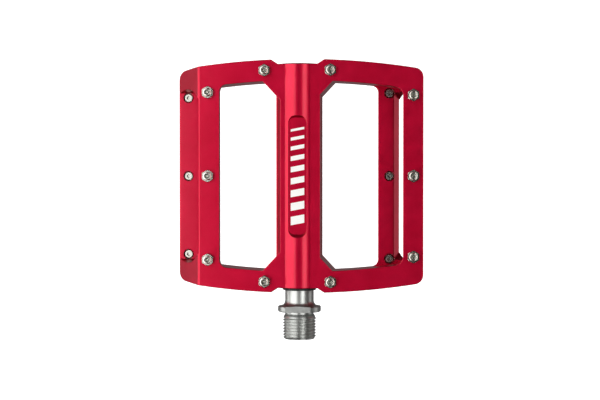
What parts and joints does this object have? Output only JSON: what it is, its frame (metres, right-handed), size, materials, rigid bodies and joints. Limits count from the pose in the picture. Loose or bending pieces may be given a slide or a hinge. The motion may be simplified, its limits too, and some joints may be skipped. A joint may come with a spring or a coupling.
{
  "type": "flat bicycle pedal",
  "caption": "Flat bicycle pedal: an open machined platform with traction pins that spins on a threaded spindle.",
  "frame": {"origin": "centre of the spindle's threaded end face", "axes": "+Y along the spindle toward the outboard side, +Z normal to the platform, +X across the platform"},
  "size_m": [0.1072, 0.1204, 0.0248],
  "materials": {
    "red_anodised": "blasted and red anodised",
    "forged_steel": "turned, satin plated",
    "pin_steel": "bright zinc plated",
    "bearing_steel": "ground and polished",
    "black_rubber": "matte",
    "bush_bronze": "plain bearing bronze",
    "cage_nylon": "natural nylon",
    "black_anodised": "black anodised"
  },
  "bodies": {
    "spindle": {"spindle": "forged_steel", "bearing_inner_ring": "bearing_steel", "thrust_washer": "forged_steel", "lock_nut": "forged_steel"},
    "platform": {"platform_body": "red_anodised", "upper_pin_rear_outboard": "pin_steel", "upper_pin_rear_middle": "pin_steel", "upper_pin_rear_inboard": "pin_steel", "upper_pin_front_outboard": "pin_steel", "upper_pin_front_middle": "pin_steel", "upper_pin_front_inboard": "pin_steel", "upper_pin_arm_rear_outboard": "pin_steel", "upper_pin_arm_front_outboard": "pin_steel", "upper_pin_arm_rear_inboard": "pin_steel", "upper_pin_arm_front_inboard": "pin_steel", "lower_pin_rear_outboard": "pin_steel", "lower_pin_rear_middle": "pin_steel", "lower_pin_rear_inboard": "pin_steel", "lower_pin_front_outboard": "pin_steel", "lower_pin_front_middle": "pin_steel", "lower_pin_front_inboard": "pin_steel", "lower_pin_arm_rear_outboard": "pin_steel", "lower_pin_arm_front_outboard": "pin_steel", "lower_pin_arm_rear_inboard": "pin_steel", "lower_pin_arm_front_inboard": "pin_steel", "shaft_seal": "black_rubber", "plain_bush": "bush_bronze", "bearing_outer_ring": "bearing_steel", "bearing_shield_inner": "bearing_steel", "bearing_shield_outer": "bearing_steel", "end_cap": "black_anodised", "cap_o_ring": "black_rubber"},
    "bearing_cage": {"bearing_cage": "cage_nylon", "bearing_ball_1": "bearing_steel", "bearing_ball_2": "bearing_steel", "bearing_ball_3": "bearing_steel", "bearing_ball_4": "bearing_steel", "bearing_ball_5": "bearing_steel", "bearing_ball_6": "bearing_steel", "bearing_ball_7": "bearing_steel"}
  },
  "joints": [
    {"name": "platform_spin", "type": "hinge", "parent": "spindle", "child": "platform", "pos_m": [0, 0.0705, 0], "axis": [0, 1, 0], "continuous": true},
    {"name": "cage_spin", "type": "hinge", "parent": "spindle", "child": "bearing_cage", "pos_m": [0, 0.101, 0], "axis": [0, 1, 0], "continuous": true}
  ],
  "couplings": [
    {"joint": "cage_spin", "follows": "platform_spin", "ratio": 0.6253}
  ]
}
